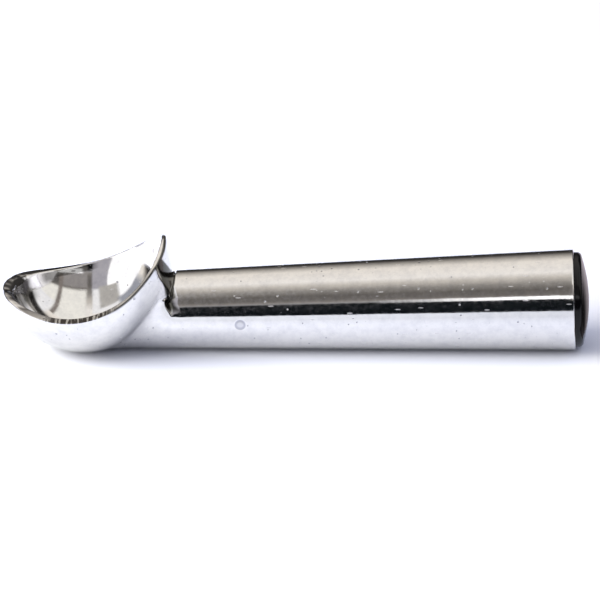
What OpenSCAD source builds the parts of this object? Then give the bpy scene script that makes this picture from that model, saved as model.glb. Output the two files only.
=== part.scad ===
// Ice cream scoop: one cast piece with a round bowl, a raised ear behind it and a hollow
// tapered handle that lies on the table, closed at its butt by a plug, a ring and a cap.
// X runs from the bowl's nose to the butt, Z is up, and the table is at Z = 0.
// All sizes are in millimetres and angles in degrees.

/* [Bowl] */
// Outer diameter of the round bowl
bowl_d = 52.1; // [50:0.1:54]
// Thickness of the bowl's wall at its bottom
bowl_wall = 2.65; // [2.2:0.05:3]
// How far the hollow sits behind the centre of the outside
hollow_shift = 0.45; // [0:0.05:0.7]

/* [Rim] */
// Height of the rim at its lowest place
rim_low = 17.5; // [16:0.1:19]
// Distance of that lowest place in front of the bowl's centre
rim_low_ahead = 10; // [8:0.1:12]
// Radius of the rim's sweep up to the nose and up to the ear
rim_sweep_r = 42; // [40:0.1:45]

/* [Ear] */
// Height of the ear's tip above the table
ear_top = 36.2; // [34:0.1:37]
// Thickness of the ear at its tip
ear_wall = 1.4; // [1.2:0.05:1.8]
// Lean of the ear's back away from upright
ear_lean = 12.65; // [10:0.05:14]
// Half the width of the ear's root at the height of the ear's tip
ear_root_top = 14.9; // [13:0.1:16]
// Half the width of the ear's root where it meets the handle
ear_root_low = 9.2; // [8:0.1:11]

/* [Handle] */
// Diameter of the handle at its front face
front_d = 24.1; // [23.5:0.1:25]
// Length of the handle from its front face to its butt
handle_len = 121.8; // [110:0.1:130]
// Angle of the handle's taper to one side
handle_taper = 1.62; // [1.4:0.02:1.9]
// Height of the handle's underside at its front face, where the bowl alone touches the table
front_lift = 0.3; // [0.2:0.05:0.6]
// Depth of the notch between the ear and the handle's front face
notch_depth = 1.4; // [1:0.1:2]
// Width of the notch at its floor
notch_gap = 0.45; // [0.3:0.05:0.8]
// Diameter of the round mark on the handle's side
spot_d = 3.5; // [2.5:0.1:5]
// Depth of that mark
spot_depth = 0.25; // [0.1:0.05:0.5]
// Distance of that mark behind the handle's front face
spot_back = 19; // [14:0.5:30]

/* [Chamber] */
// Diameter of the hollow in the handle at its front end
chamber_d = 17; // [15:0.1:18]
// Solid length between the handle's front face and the hollow's round end
chamber_set = 0.4; // [0:0.1:3]
// Angle of the hollow's taper to one side
chamber_taper = 1; // [0.6:0.1:1.3]
// Space left around the liquid
fill_gap = 0.1; // [0.05:0.05:0.3]

/* [Plug] */
// Diameter of the bore that holds the plug
plug_bore_d = 25; // [24:0.1:25.6]
// Length of the plug
plug_len = 9; // [8:0.1:12]
// Clearance around the plug
plug_clear = 0.05; // [0.03:0.01:0.1]
// Thickness of the sealing ring's round section
ring_t = 2.6; // [2:0.1:3]
// Space beside the ring in its groove
ring_play = 0.2; // [0.1:0.05:0.4]

/* [Cap] */
// Diameter of the cap where it lies on the butt
cap_d = 29.2; // [28.6:0.1:30]
// How far the cap stands out behind the butt
cap_rise = 4.4; // [4:0.1:5.5]
// Radius of the cap's dome
cap_dome_r = 46; // [40:1:60]
// Radius of the cap's rounded edge
cap_edge_r = 1.6; // [1.2:0.1:1.9]
// Outer diameter of the cap's skirt inside the butt
skirt_d = 27; // [26.4:0.1:27.4]
// Length of the skirt
skirt_len = 5; // [4:0.1:6]
// Thickness of the skirt
skirt_wall = 1.8; // [1.4:0.1:2.4]
// Clearance around the skirt
skirt_clear = 0.05; // [0.03:0.01:0.1]
// Gap between the skirt's end and the plug
skirt_gap = 0.3; // [0.2:0.05:0.6]

/* [Hidden] */
$fn = 96;
over = 1;

bowl_r = bowl_d / 2;
hollow_r = bowl_r - bowl_wall;

// The nose is where the outside of the bowl, seen from the side, meets the rim's sweep.
sweep_dx = -rim_low_ahead;
sweep_dz = rim_low + rim_sweep_r - bowl_r;
sweep_dist = sqrt(sweep_dx * sweep_dx + sweep_dz * sweep_dz);
sweep_along = (bowl_r * bowl_r - rim_sweep_r * rim_sweep_r + sweep_dist * sweep_dist) / (2 * sweep_dist);
sweep_aside = sqrt(bowl_r * bowl_r - sweep_along * sweep_along);
nose_reach = -(sweep_along * sweep_dx - sweep_aside * sweep_dz) / sweep_dist;

// Radius of the ear's cone at the ear's tip, at the height z, and where it would close to a point.
ear_tip_r = hollow_r + hollow_shift + ear_wall;
function ear_r(z) = ear_tip_r + (ear_top - z) * tan(ear_lean);

// The notch's floor is a round bar, a little larger than the neck, below the handle's axis.
notch_z = front_lift + front_d - notch_depth;
floor_r = front_d / 2 + 1.45;
floor_drop = floor_r + notch_depth - front_d / 2;
front_x = ear_r(notch_z) + notch_gap;
notch_len = front_x - bowl_r * 0.55;

// The handle's underside sinks from the front lift to the table at the butt.
sink = asin(front_lift / handle_len);
climb = handle_taper - sink;
front_s = front_d / 2 / tan(handle_taper);
butt_s = front_s + handle_len;
butt_r = butt_s * tan(handle_taper);
point_x = front_x - front_s * cos(climb);
point_z = butt_r * cos(climb) - butt_s * sin(climb);
neck_s = front_s - (front_x + 2) / cos(climb);

// Along the axis from the butt inwards: the cap's skirt, the plug, the chamber.
plug_out_s = butt_s - skirt_len - skirt_gap;
plug_in_s = plug_out_s - plug_len;
chamber_s = front_s + chamber_set;
chamber_ball_s = chamber_s + chamber_d / 2;
chamber_end_r = chamber_d / 2 + (plug_in_s - chamber_ball_s) * tan(chamber_taper);
plug_r = plug_bore_d / 2 - plug_clear;
ring_r = plug_bore_d / 2 - ring_t / 2 - 0.02;

// The whole is centred on X = 0.
nose_x = -nose_reach;
tail_x = front_x + (handle_len + cap_rise) * cos(climb);
shift_x = -(nose_x + tail_x) / 2;

// Colours of the finishes.
metal = [0.78, 0.78, 0.8];
black = [0.03, 0.03, 0.035];
rubber = [0.08, 0.08, 0.09];
liquid = [0.75, 0.8, 0.85];

// A shape drawn along the handle's axis, from the point where its cone would close.
module on_handle_axis() {
    translate([point_x, 0, point_z])
        rotate([0, 90 - climb, 0])
            children();
}

// A cone about the bowl's upright axis that matches the ear's back, from height z0 to z1.
module ear_cone(z0, z1) {
    translate([0, 0, z0])
        cylinder(h = z1 - z0, r1 = ear_r(z0), r2 = ear_r(z1));
}

// The bowl's outside: a ball on the table with an upright wall above its middle.
module bowl_outside() {
    translate([0, 0, bowl_r])
        sphere(r = bowl_r);
    translate([0, 0, bowl_r])
        cylinder(h = ear_top - bowl_r + over, r = bowl_r);
}

// The ear's root behind the bowl: the ear's cone kept between two sloping sides.
module ear_root() {
    root_z = front_lift + front_d / 2;
    slope = (ear_root_top - ear_root_low) / (ear_top - notch_z);
    root_w = ear_root_low - slope * (notch_z - root_z);
    intersection() {
        ear_cone(root_z, ear_top + over);
        translate([bowl_r / 2, 0, 0])
            rotate([90, 0, 90])
                linear_extrude(height = bowl_r)
                    polygon([
                        [-root_w, root_z],
                        [root_w, root_z],
                        [ear_root_top, ear_top],
                        [ear_root_top, ear_top + over],
                        [-ear_root_top, ear_top + over],
                        [-ear_root_top, ear_top]
                    ]);
    }
}

// The handle's cone, from inside the bowl's wall to the butt.
module handle_cone() {
    on_handle_axis()
        translate([0, 0, neck_s])
            cylinder(
                h = butt_s - neck_s,
                r1 = neck_s * tan(handle_taper),
                r2 = butt_r
            );
}

// What the notch takes away: all above its floor between the ear's back and the handle's front.
module notch() {
    difference() {
        on_handle_axis()
            translate([-2 * ear_top, -bowl_r, front_s - notch_len])
                cube([2 * ear_top, bowl_d, notch_len]);
        ear_cone(0, ear_top + over);
        on_handle_axis()
            translate([floor_drop, 0, front_s - notch_len - over])
                cylinder(h = notch_len + 2 * over, r = floor_r);
    }
}

// The bowl's hollow: a ball with an upright wall above its middle.
module bowl_hollow() {
    translate([hollow_shift, 0, bowl_r])
        sphere(r = hollow_r);
    translate([hollow_shift, 0, bowl_r])
        cylinder(h = ear_top, r = hollow_r);
}

// What is open above the rim: a round bar across the bowl, and all above the ear's tip.
module above_rim() {
    translate([-bowl_d, -bowl_d, ear_top])
        cube(2 * bowl_d);
    translate([-rim_low_ahead, 0, rim_low + rim_sweep_r])
        rotate([90, 0, 0])
            cylinder(h = bowl_d + 4, r = rim_sweep_r, center = true, $fn = 240);
}

// The hollow in the handle, the plug's bore and the cap's bore, along the handle's axis.
module handle_hollow() {
    on_handle_axis() {
        chamber(0);
        translate([0, 0, plug_in_s])
            cylinder(h = butt_s - plug_in_s + over, d = plug_bore_d);
        translate([0, 0, plug_out_s])
            cylinder(h = butt_s - plug_out_s + over, d = skirt_d);
    }
}

// The chamber's shape, made smaller all round by a gap.
module chamber(gap) {
    translate([0, 0, chamber_ball_s])
        sphere(r = chamber_d / 2 - gap);
    translate([0, 0, chamber_ball_s])
        cylinder(
            h = plug_in_s - chamber_ball_s - gap,
            r1 = chamber_d / 2 - gap,
            r2 = chamber_end_r - gap
        );
}

// The round mark on the handle's side.
module side_spot() {
    spot_s = front_s + spot_back;
    spot_r = spot_s * tan(handle_taper);
    on_handle_axis()
        translate([0, -spot_r + spot_depth, spot_s])
            rotate([90, 0, 0])
                cylinder(h = 2, d = spot_d);
}

module scoop_casting() {
    color(metal)
        translate([shift_x, 0, 0])
            difference() {
                union() {
                    bowl_outside();
                    ear_root();
                    handle_cone();
                }
                notch();
                bowl_hollow();
                above_rim();
                handle_hollow();
                side_spot();
            }
}

module heat_liquid() {
    color(liquid)
        translate([shift_x, 0, 0])
            on_handle_axis()
                chamber(fill_gap);
}

module seal_plug() {
    color(metal)
        translate([shift_x, 0, 0])
            on_handle_axis()
                translate([0, 0, plug_in_s])
                    difference() {
                        cylinder(h = plug_len, r = plug_r);
                        ring_groove();
                    }
}

// The groove around the plug, as wide as the ring with its play.
module ring_groove() {
    groove_w = ring_t + 2 * ring_play;
    groove_r = ring_r - ring_t / 2 - 0.02;
    translate([0, 0, plug_len / 2 - groove_w / 2])
        difference() {
            cylinder(h = groove_w, r = plug_r + over);
            translate([0, 0, -over])
                cylinder(h = groove_w + 2 * over, r = groove_r);
        }
}

module seal_ring() {
    color(rubber)
        translate([shift_x, 0, 0])
            on_handle_axis()
                translate([0, 0, plug_in_s + plug_len / 2])
                    rotate_extrude()
                        translate([ring_r, 0])
                            circle(d = ring_t, $fn = 32);
}

module end_cap() {
    edge_x = cap_d / 2 - cap_edge_r;
    dome_z = cap_rise - cap_dome_r;
    edge_z = dome_z + sqrt(cap_dome_r * cap_dome_r - edge_x * edge_x) - cap_edge_r;
    skirt_r = skirt_d / 2 - skirt_clear;
    color(black)
        translate([shift_x, 0, 0])
            on_handle_axis()
                translate([0, 0, butt_s])
                    rotate_extrude() {
                        square([cap_d / 2, edge_z]);
                        translate([edge_x, edge_z])
                            circle(r = cap_edge_r, $fn = 48);
                        intersection() {
                            square([edge_x, cap_rise + over]);
                            translate([0, dome_z])
                                circle(r = cap_dome_r, $fn = 360);
                        }
                        translate([skirt_r - skirt_wall, -skirt_len])
                            square([skirt_wall, skirt_len + edge_z / 2]);
                    }
}

scoop_casting();
heat_liquid();
seal_plug();
seal_ring();
end_cap();
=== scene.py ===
# %% [markdown]
# A cast ice cream scoop. It is one piece of polished aluminium, bowl and handle together,
# with a liquid in the hollow handle that carries the hand's warmth to the bowl, and a black
# cap at the butt. The frame from the CAD model is loaded first, because every piece of the
# picture has to stay where the model says that it is.

# %% Load the frame
import bpy
import mathutils
import numpy as np
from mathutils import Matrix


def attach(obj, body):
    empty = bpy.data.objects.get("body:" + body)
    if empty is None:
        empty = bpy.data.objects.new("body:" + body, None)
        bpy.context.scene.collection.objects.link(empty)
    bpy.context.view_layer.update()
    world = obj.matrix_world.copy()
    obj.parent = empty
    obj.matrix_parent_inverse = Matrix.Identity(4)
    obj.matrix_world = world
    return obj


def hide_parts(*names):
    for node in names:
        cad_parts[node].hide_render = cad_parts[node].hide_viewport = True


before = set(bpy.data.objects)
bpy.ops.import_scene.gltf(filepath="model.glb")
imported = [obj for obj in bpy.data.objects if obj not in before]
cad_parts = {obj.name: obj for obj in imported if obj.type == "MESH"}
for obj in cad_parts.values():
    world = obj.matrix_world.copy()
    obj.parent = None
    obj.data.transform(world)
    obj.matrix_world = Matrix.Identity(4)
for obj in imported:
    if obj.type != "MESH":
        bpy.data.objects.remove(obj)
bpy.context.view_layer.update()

# %% [markdown]
# The casting is a surface of two parameters. Its sizes are written down once, as the CAD
# model has them, in millimetres about the upright axis of the bowl. What lines up with
# another piece is worked out from these few.

# %% Sizes of the casting
MM = 0.001
bowl_to_row = -64.6909  # from the bowl's axis to the middle of the scoop, the frame's origin
bowl_d, bowl_wall, hollow_x = 52.1, 2.65, 0.45
ear_top, ear_wall, ear_lean = 36.2, 1.4, np.tan(np.radians(12.65))
front_d, front_lift, handle_len = 24.1, 0.3, 121.8
notch_depth, notch_gap = 1.4, 0.45
ball_r = bowl_d / 2
hollow_r = ball_r - bowl_wall
ear_tip_r = hollow_r + hollow_x + ear_wall
notch_floor = front_lift + front_d - notch_depth
print("The bowl's ball has a radius of", ball_r, "mm, and the ear is", ear_top, "mm tall")

# %% [markdown]
# The handle is a cone about its own axis. The bowl holds its front just clear of the table
# and its butt rests there, and as the cone widens faster than its underside sinks, the axis
# climbs a little. So the handle gets three directions of its own.

# %% The handle's cone and its directions
taper_angle = np.radians(1.62)
taper = np.tan(taper_angle)
climb = taper_angle - np.arcsin(front_lift / handle_len)
front_s = front_d / 2 / taper  # from the cone's point to the handle's front edge
butt_s = front_s + handle_len
butt_r = butt_s * taper
front_x = ear_tip_r + (ear_top - notch_floor) * ear_lean + notch_gap
cone_point = np.array([front_x - front_s * np.cos(climb), 0.0,
                       butt_r * np.cos(climb) - butt_s * np.sin(climb)])
along = np.array([np.cos(climb), 0.0, np.sin(climb)])
upward = np.array([-np.sin(climb), 0.0, np.cos(climb)])
toward = np.array([0.0, -1.0, 0.0])
print("The axis climbs", np.degrees(climb).round(3), "degrees to a butt of radius", butt_r.round(2), "mm")

# %% [markdown]
# Hardly anything on a casting starts at a line. A soft step fades one shape into the next,
# and later one finish into another. Three more helpers give unit vectors, angles within
# half a turn, and directions around the handle.

# %% A soft step, and directions
def ease(x, low, high):
    """0 up to low, 1 from high on, and t * t * (3 - 2 * t) a share t of the way between them."""
    t = np.clip((np.asarray(x, float) - low) / (high - low), 0, 1)
    return t * t * (3 - 2 * t)


def unit(v):
    """The vectors of the last axis, each divided by its own length."""
    return v / np.linalg.norm(v, axis=-1, keepdims=True)


def wrapped(angle):
    """The same angle between minus and plus half a turn."""
    return (angle + np.pi) % (2 * np.pi) - np.pi


def turned(angle):
    """Directions square to the handle's axis: cos(angle) up plus sin(angle) toward the front."""
    return np.cos(angle)[..., None] * upward + np.sin(angle)[..., None] * toward


print("A quarter of the way up, the soft step has reached", ease(0.25, 0, 1))

# %% [markdown]
# The bowl was cast as a ball on the table with an upright wall above its middle. Behind it
# the wall leaves that ball and leans out to the handle as a cone: the back of the ear. Where
# the cone starts, the two halves of the mould met, and a soft crease is left there.

# %% The bowl's outside
ear_half = 45  # degrees to either side of the handle that belong to the ear
ear_pinch = 0.6  # how much narrower the ear is near its top
crease = 0.12  # the soft minimum's k, which sets how round the crease is


def ball_radius(z):
    """Radius of the ball at height z, sqrt(r^2 - (r - z)^2), and r above its middle."""
    return np.sqrt(np.maximum(ball_r ** 2 - np.maximum(ball_r - z, 0) ** 2, 1e-6))


def outside_radius(azimuth, z):
    """Radius of the bowl's outside at an angle from the handle's side and a height. Within 45
    degrees of the handle the ball runs on straight, radius / cos(45 - angle), until the ear's
    cone cuts it off at a crease, which a soft minimum -k ln(e^(-a/k) + e^(-b/k)) rounds."""
    side, ball = np.abs(np.degrees(azimuth)), ball_radius(z)
    cone = ear_tip_r + (ear_top - np.maximum(z, notch_floor)) * ear_lean
    off_straight = np.radians(np.clip(ear_half - side, 0, ear_half))
    straight = np.maximum((ball - ear_pinch * ease(z, 27, 32)) / np.cos(off_straight), ball)
    root = np.minimum(cone, straight) - crease * np.log1p(np.exp(-np.abs(cone - straight) / crease))
    root = np.where(side > ear_half - 1, ball, root)
    return ball + (root - ball) * ease(z, 2, 13)


def outside_point(direction):
    """Where a ray from the ball's centre meets the ball or its upright wall, moved out level
    to the outside's radius."""
    flat = np.maximum(np.hypot(direction[..., 0], direction[..., 1]), 1e-9)
    reach = np.where(direction[..., 2] > 0, ball_r / flat, ball_r)
    base = direction * reach[..., None] + np.array([0, 0, ball_r])
    azimuth = np.arctan2(base[..., 1], base[..., 0])
    bump = outside_radius(azimuth, base[..., 2]) - ball_radius(base[..., 2])
    outward = np.stack([np.cos(azimuth), np.sin(azimuth), 0 * azimuth], -1)
    return base + bump[..., None] * outward


print("At the notch's floor the ear's back is at", outside_radius(0.0, notch_floor).round(2), "mm")

# %% [markdown]
# Seen from the side the rim is a long arc that is low in front of the middle and runs up to
# the ear at the back. A file has tilted it outwards along the sides. At the nose it is worn
# to a thick round lip, and at the ear's tip it is thin.

# %% The rim
rim_low, rim_ahead, rim_sweep_r = 17.5, 10.06, 40.0  # the arc's low place, where it is, its radius
rim_splay, soft_middle = np.radians(4.33), 1.2
filed_off, thinned = 0.45, 0.9
ear_tip_z = ear_top - 0.15
rounds = 40  # both searches, here and where the handle meets the bowl, have settled by then


def rim_height(x, y):
    """Height of the rim over a point: its low place plus R - sqrt(R^2 - u^2), with u measured
    from that place along the scoop, less a share of the distance to the side."""
    side = np.sqrt(y ** 2 + soft_middle ** 2) - soft_middle
    u = x * np.cos(rim_splay) - side * np.sin(rim_splay) + rim_ahead
    return rim_low + rim_sweep_r - np.sqrt(np.maximum(rim_sweep_r ** 2 - u ** 2, 1.0))


def thinning(azimuth, z):
    """How far the inside leans out towards the rim beside the ear's tip, where the wall was
    ground thinner: 0.9 mm, less towards the tip, the sides and the bottom."""
    side = np.abs(np.degrees(azimuth))
    return thinned * ease(side, 12, 34) * (1 - ease(side, 60, 88)) * ease(z, 14, 26)


def rim_edges(azimuth):
    """The rim's inner and outer edges before they are rounded, found by putting the height
    back into the radius until both agree."""
    back = 1 - ease(np.abs(azimuth), np.radians(18), np.radians(60))
    z_in = z_out = np.full_like(azimuth, 20.0)
    for _ in range(rounds):
        r_in = np.sqrt(hollow_r ** 2 - np.maximum(ball_r - z_in, 0) ** 2) + thinning(azimuth, z_in)
        x_in, y_in = hollow_x + r_in * np.cos(azimuth), r_in * np.sin(azimuth)
        z_in = np.minimum(rim_height(x_in, y_in), ear_tip_z)
        r_out = outside_radius(azimuth, z_out)
        x_out, y_out = r_out * np.cos(azimuth), r_out * np.sin(azimuth)
        level = (1 - back) * rim_height(x_out, y_out) + back * z_in
        z_out = np.minimum(level - filed_off * (1 - back), ear_tip_z)
    return np.stack([x_in, y_in, z_in], -1), np.stack([x_out, y_out, z_out], -1)


print("At the nose the rim is", rim_height(-ball_r, 0.0).round(2), "mm above the table")

# %% [markdown]
# The handle starts with a rounded shoulder behind the ear. On top the shoulder is a short
# step, and down the sides it runs forward and gets rounder. It dies away towards the
# underside, where the handle flows into the bowl without an edge.

# %% The handle's outside
foot_top, foot_slope, foot_back = -0.3, 0.045, 1.7  # mm on top, mm for each degree, mm at its end
step_wide, side_wider = 0.35, 3.2
step_deep, side_shallower = 1.6, 0.5


def shoulder_radius(a, angle):
    """Radius of the notched handle: the cone's, less the shoulder's depth times
    1 - sqrt(1 - (1 - t)^2) over the shoulder's width. Also the distance a of its foot, which
    runs forward on the near side at once and on the far side only past 40 degrees."""
    side = np.abs(angle)
    near = foot_top - foot_slope * np.minimum(side, 60)
    far = near + foot_slope * side * (1 - ease(side, 40, 60))
    foot = np.where(angle > 0, near, far) + foot_back * ease(side, 58, 78)
    width = step_wide + side_wider * ease(side, 18, 60)
    depth = step_deep - side_shallower * ease(side, 15, 50)
    t = np.clip((a - foot) / width, 0, 1)
    return (front_s + a) * taper - depth * (1 - np.sqrt(1 - (1 - t) ** 2)), foot


def handle_point(a, angle, notched):
    """The point at a distance a behind the front edge and at an angle from the top."""
    degrees = np.degrees(wrapped(angle))
    radius = shoulder_radius(a, degrees)[0] if notched else (front_s + a) * taper
    return cone_point + (front_s + a)[..., None] * along + radius[..., None] * turned(angle)


print("The shoulder's foot is at", foot_top, "mm on top, and at", shoulder_radius(0.0, 60.0)[1].round(2),
      "mm 60 degrees down the near side")

# %% [markdown]
# Bowl and handle are one skin. Each column of the grid is one path over the casting: up the
# inside of the bowl, over the rim, down the outside, through the fillet and along the handle.
# A column starts at an angle around the handle, follows it in until it meets the bowl, and
# then takes the great circle of the ball that leads on to the rim.

# %% Where handle and bowl meet
columns = 288
around = np.arange(columns) * 2 * np.pi / columns
folded = np.degrees(np.abs(wrapped(around)))  # degrees from the top, the same to both sides
ball_centre = np.array([0, 0, ball_r])


def sunk(a, notched):
    """How far the handle's line lies inside the bowl's outside at each column's a."""
    p = handle_point(a, around, notched)
    azimuth = np.arctan2(p[..., 1], p[..., 0])
    return outside_radius(azimuth, p[..., 2]) - np.hypot(p[..., 0], p[..., 1])


def meeting(notched):
    """Distance a at which each column's line dips into the bowl: the first change of side on
    the way in, halved down."""
    steps = np.linspace(2, -28, 151)
    sides = np.stack([sunk(np.full(columns, a), notched) for a in steps])
    first = np.argmax(sides > 0, axis=0)
    outer, inner = steps[first - 1], steps[first]
    for _ in range(rounds):
        middle = (outer + inner) / 2
        is_in = sunk(middle, notched) > 0
        outer, inner = np.where(is_in, outer, middle), np.where(is_in, middle, inner)
    return (outer + inner) / 2


cone_meet_a = meeting(notched=False)
cone_meet = handle_point(cone_meet_a, around, notched=False)
print("The cone meets the bowl between", cone_meet_a.min().round(2), "and", cone_meet_a.max().round(2))

# %% [markdown]
# The rim points are paired with the columns by their angle about the line from the ball's
# centre to the handle's root, so that neighbouring columns stay evenly apart and none cross.

# %% Pair the rim with the handle
root_line = unit(np.array([24.0, 0.0, -13.4]))  # from the ball's centre to the root's middle
root_up = unit(np.array([0, 0, 1.0]) - root_line[2] * root_line)
root_side = np.cross(root_up, root_line)


def angle_about_root(p):
    """Angle of points about the root's line, from above through the camera's side."""
    d = p - ball_centre
    return np.arctan2(d @ root_side, d @ root_up)


lap = 2 * np.pi
fine = np.linspace(-np.pi, np.pi, 2881)[:-1]
rim_turn = np.unwrap(angle_about_root(rim_edges(fine)[1]))
if rim_turn[0] > rim_turn[-1]:
    fine, rim_turn = fine[::-1], rim_turn[::-1]
column_turn = rim_turn[0] + (angle_about_root(cone_meet) - rim_turn[0]) % lap
rim_turn = np.append(rim_turn, rim_turn[0] + lap)
fine = np.append(fine, fine[0] + lap * np.sign(fine[1] - fine[0]))
azimuth = wrapped(np.interp(column_turn, rim_turn, fine))
rim_in, rim_out = rim_edges(azimuth)
print("The rim runs from", rim_out[:, 2].min().round(2), "to", rim_out[:, 2].max().round(2), "mm")

# %% [markdown]
# A few helpers turn such paths into rows of points: one measures along a path, one lays new
# points on it, and two round the corner between two paths with a short curve.

# %% Helpers for paths
pull = 0.6  # how far a curve's two handles reach towards the corner that it rounds


def distances(path):
    """How far along each column's path (rows x columns x 3) each of its points is, from 0."""
    steps = np.linalg.norm(np.diff(path, axis=0), axis=-1)
    return np.concatenate([np.zeros((1, path.shape[1])), np.cumsum(steps, axis=0)])


def resample(path, count, start=None, end=None):
    """Points at even distances along each column's path between the distances start and end,
    by straight lines between the path's own points."""
    reach = distances(path)
    start = reach[0] if start is None else start
    end = reach[-1] if end is None else end
    want = start + (end - start) * np.linspace(0, 1, count)[:, None]
    row = np.clip((reach[None] <= want[:, None]).sum(1) - 1, 0, len(path) - 2)
    column = np.arange(path.shape[1])[None]
    share = (want - reach[row, column]) / np.maximum(reach[row + 1, column] - reach[row, column], 1e-9)
    return path[row, column] * (1 - share[..., None]) + path[row + 1, column] * share[..., None]


def bend(start, start_pull, end_pull, end, count):
    """A cubic Bezier curve per column, without its two end points."""
    t = np.linspace(0, 1, count + 2)[1:-1, None, None]
    return ((1 - t) ** 3 * start + 3 * (1 - t) ** 2 * t * start_pull
            + 3 * (1 - t) * t ** 2 * end_pull + t ** 3 * end)


def corner(before, edge, after, radius, count):
    """Rounds an edge: from radius short of it towards before, to radius past it towards
    after, on a Bezier curve pulled to the edge."""
    a = edge + unit(before - edge) * radius[:, None]
    b = edge + unit(after - edge) * radius[:, None]
    middle = bend(a, a + pull * (edge - a), b + pull * (edge - b), b, count)
    return np.concatenate([a[None], middle, b[None]])


rim_steps = np.linalg.norm(rim_out - np.roll(rim_out, 1, axis=0), axis=-1)
print("The rim is", rim_steps.sum().round(1), "mm around, and its columns are at most",
      rim_steps.max().round(2), "mm apart")

# %% [markdown]
# The first part of each column is the bowl's inside: from the lowest point up the hollow's
# ball, and above its middle straight up to the rim. It is worked out finely here, and its
# rows are laid on it when it is known where the rim's rounding starts.

# %% The bowl's inside
hollow_centre = np.array([hollow_x, 0, ball_r])
rim_tilt = np.arccos(np.clip((ball_r - rim_in[:, 2]) / hollow_r, 0, 1))
arc_len = hollow_r * rim_tilt
inner_len = arc_len + np.maximum(rim_in[:, 2] - ball_r, 0)
walked = np.linspace(0, 1, 400)[:, None] * inner_len
tilt = np.minimum(walked / hollow_r, rim_tilt)
inner_wall = hollow_centre + np.stack([
    hollow_r * np.sin(tilt) * np.cos(azimuth),
    hollow_r * np.sin(tilt) * np.sin(azimuth),
    -hollow_r * np.cos(tilt) + np.maximum(walked - arc_len, 0)], -1)
outward = np.stack([np.cos(azimuth), np.sin(azimuth), 0 * azimuth], -1)
inner_wall = inner_wall + thinning(azimuth, inner_wall[..., 2])[..., None] * outward
print("From its bottom to the rim the inside is", inner_len.min().round(1), "to",
      inner_len.max().round(1), "mm")

# %% [markdown]
# The rim is a filed face between two rounded edges. Use has worn both edges round at the
# nose, so their radii grow there, and a little at the ear's tip as well.

# %% The rim's face and its edges
inside_rows, round_rows, face_rows = 58, 4, 5


def slerp(a, b, t):
    """The direction a share t of the way along the great circle from a to b."""
    turn = np.arccos(np.clip((a * b).sum(-1, keepdims=True), -1, 1))
    return (np.sin((1 - t) * turn) * a + np.sin(t * turn) * b) / np.sin(turn)


def on_ball(p):
    """Directions from the ball's centre to points moved level onto the ball or its wall."""
    azimuth, radius = np.arctan2(p[:, 1], p[:, 0]), ball_radius(p[:, 2])
    level = np.stack([radius * np.cos(azimuth), radius * np.sin(azimuth), p[:, 2]], -1)
    return unit(level - ball_centre)


nose = ease(np.abs(np.degrees(azimuth)), 128, 165)
tip = 1 - ease(np.abs(np.degrees(azimuth)), 6, 30)
round_in = 0.3 + 1.35 * nose + 0.3 * tip
round_out = 0.25 + 1.2 * nose + 0.35 * tip
below_rim = outside_point(slerp(on_ball(rim_out), on_ball(cone_meet), 0.02))
inner_round = corner(inner_wall[-8], rim_in, rim_out, round_in, round_rows)
outer_round = corner(rim_in, rim_out, below_rim, round_out, round_rows)
face_shares = np.linspace(0, 1, face_rows + 2)[1:-1, None, None]
face = inner_round[-1] + (outer_round[0] - inner_round[-1]) * face_shares
pole_gap, edge_gap = np.full(columns, 0.9), 0.25
inside = resample(inner_wall, inside_rows, pole_gap, inner_len - round_in - edge_gap)
print("The inner edge is rounded by", round_in.min().round(2), "mm, and by",
      round_in.max().round(2), "at the nose")

# %% [markdown]
# The second part is the fillet and the handle. At the top a sharp notch parts the ear from
# the handle, with a tight fillet at its bottom. Below, the two flow together over more than a
# centimetre. One function lays the rows for either, and another presses the notch's lower
# end into the side that flows, because it runs out there as a dent.

# %% The fillet, and the notch's lower end
wall_rows, fillet_rows, neck_rows = 62, 22, 56
neck_end = 9  # mm behind the front edge, from where on the handle is a plain cone


def flank(notched, up, down):
    """Rows from the rim's outer edge to the neck's end: along the bowl to a length up short of
    the meeting, over a Bezier curve, and on along the handle from a length down past it."""
    meet_a = meeting(notched)
    meet = handle_point(meet_a, around, notched)
    shares = np.linspace(0, 1, 500)[:, None, None]
    wall = outside_point(slerp(on_ball(rim_out), on_ball(meet), shares))
    wall_len = distances(wall)[-1]
    outside = resample(wall, wall_rows, round_out + 0.2, wall_len - np.minimum(up, 0.5 * wall_len))
    line_a = meet_a + (neck_end - meet_a) * np.linspace(0, 1, 900)[:, None]
    line = handle_point(line_a, np.broadcast_to(around, line_a.shape), notched)
    neck = resample(line, neck_rows, down, distances(line)[-1])
    behind = resample(line, 2, down, down + 0.05)[1]
    pull_up = unit(outside[-1] - outside[-2]) * (pull * up)[:, None]
    pull_in = unit(neck[0] - behind) * (pull * down)[:, None]
    curve = bend(outside[-1], outside[-1] + pull_up, neck[0] + pull_in, neck[0], fillet_rows)
    return np.concatenate([outside, curve, neck])


def pressed_notch(rows):
    """Presses the notch's lower end into the flowing side: from the shoulder's foot on, points
    move straight in to the shoulder's radius, by a share that fades from 64 to 80 degrees.
    Also each column's row at the foot."""
    a = (rows - cone_point) @ along - front_s
    out = rows - cone_point - (front_s + a)[..., None] * along
    radius = np.linalg.norm(out, axis=-1)
    side = np.degrees(np.arccos(np.clip(out @ upward / radius, -1, 1)))
    wanted, foot = shoulder_radius(a, side)
    share = ease(a, foot - 0.7, foot - 0.05) * (1 - ease(side, 64, 80))
    moved = rows + out * ((wanted / radius - 1) * share)[..., None]
    return moved, np.argmax(a > foot - 0.35, axis=0)


print("A side has", wall_rows + fillet_rows + neck_rows, "rows")

# %% [markdown]
# Both ways are worked out for every column, and a share of each is taken that goes from all
# notch to all flow down the sides. For that the same row has to be at the notch's bottom in
# both, so the flowing rows are laid anew to either side of it.

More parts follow.
